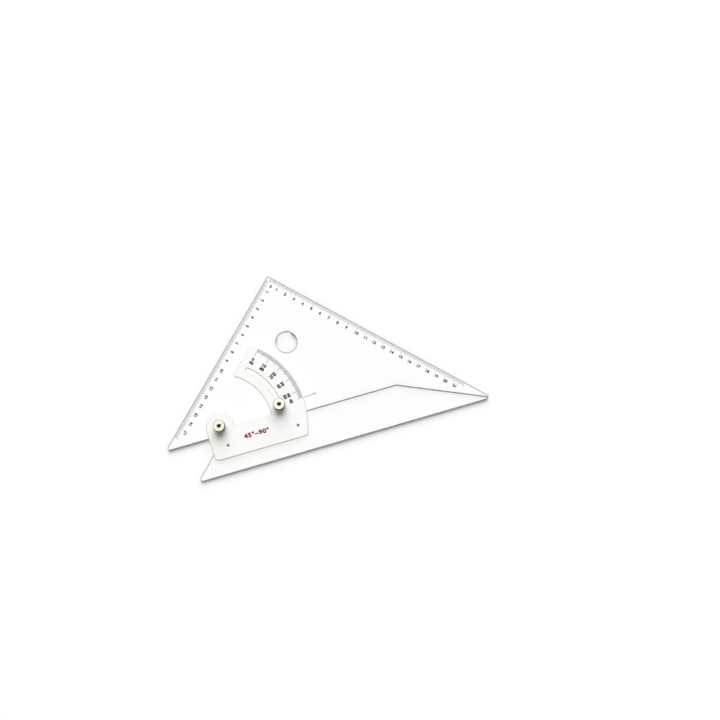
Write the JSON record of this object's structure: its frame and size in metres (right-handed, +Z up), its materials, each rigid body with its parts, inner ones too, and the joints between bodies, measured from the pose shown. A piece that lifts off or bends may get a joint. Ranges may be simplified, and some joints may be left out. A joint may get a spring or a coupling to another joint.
{
  "type": "adjustable set square",
  "caption": "Clear drafting set square whose ruling blade swings from 45 to 90 degrees about a pivot and locks with a thumb nut on an arc-slotted angle scale.",
  "frame": {"origin": "centre of the bounding box's bottom face, on the surface that both plates lie on", "axes": "+X along the long leg from the right-angled corner to the slender tip, -Y along the short leg, +Z up out of the face with the nuts"},
  "size_m": [0.251, 0.2082, 0.0155],
  "materials": {
    "clear_acrylic": "clear cast acrylic sheet, polished faces and cut edges",
    "white_acrylic": "opaque white acrylic sheet with printed black scale",
    "pin_steel": "dull steel",
    "screw_steel": "bright machined steel",
    "clear_nylon": "translucent nylon",
    "nickel_plated_brass": "turned and knurled, pale nickel plating"
  },
  "bodies": {
    "square": {"main_square": "clear_acrylic", "pivot_screw": "screw_steel", "lock_screw": "screw_steel"},
    "blade": {"blade": "clear_acrylic", "protractor_bracket": "white_acrylic", "lower_bracket_pin": "pin_steel", "upper_bracket_pin": "pin_steel"},
    "pivot_washer": {"pivot_washer": "clear_nylon"},
    "pivot_nut": {"pivot_nut": "nickel_plated_brass"},
    "lock_washer": {"lock_washer": "clear_nylon"},
    "lock_nut": {"lock_nut": "nickel_plated_brass"}
  },
  "joints": [
    {"name": "blade_swing", "type": "hinge", "parent": "square", "child": "blade", "pos_m": [-0.09081, -0.05017, 0], "axis": [0, 0, -1], "range_deg": [0, 45]},
    {"name": "pivot_washer_lift", "type": "slide", "parent": "square", "child": "pivot_washer", "axis": [0, 0, 1], "range_m": [0, 0.0006]},
    {"name": "pivot_nut_turn", "type": "hinge", "parent": "pivot_washer", "child": "pivot_nut", "pos_m": [-0.09081, -0.05017, 0], "axis": [0, 0, 1], "range_deg": [0, 360]},
    {"name": "lock_washer_lift", "type": "slide", "parent": "square", "child": "lock_washer", "axis": [0, 0, 1], "range_m": [0, 0.0006]},
    {"name": "lock_nut_turn", "type": "hinge", "parent": "lock_washer", "child": "lock_nut", "pos_m": [-0.05054, -0.00369, 0], "axis": [0, 0, 1], "range_deg": [0, 360]}
  ],
  "couplings": [
    {"joint": "pivot_nut_turn", "follows": "pivot_washer_lift", "rad_per_m": 10472},
    {"joint": "lock_nut_turn", "follows": "lock_washer_lift", "rad_per_m": 10472}
  ]
}
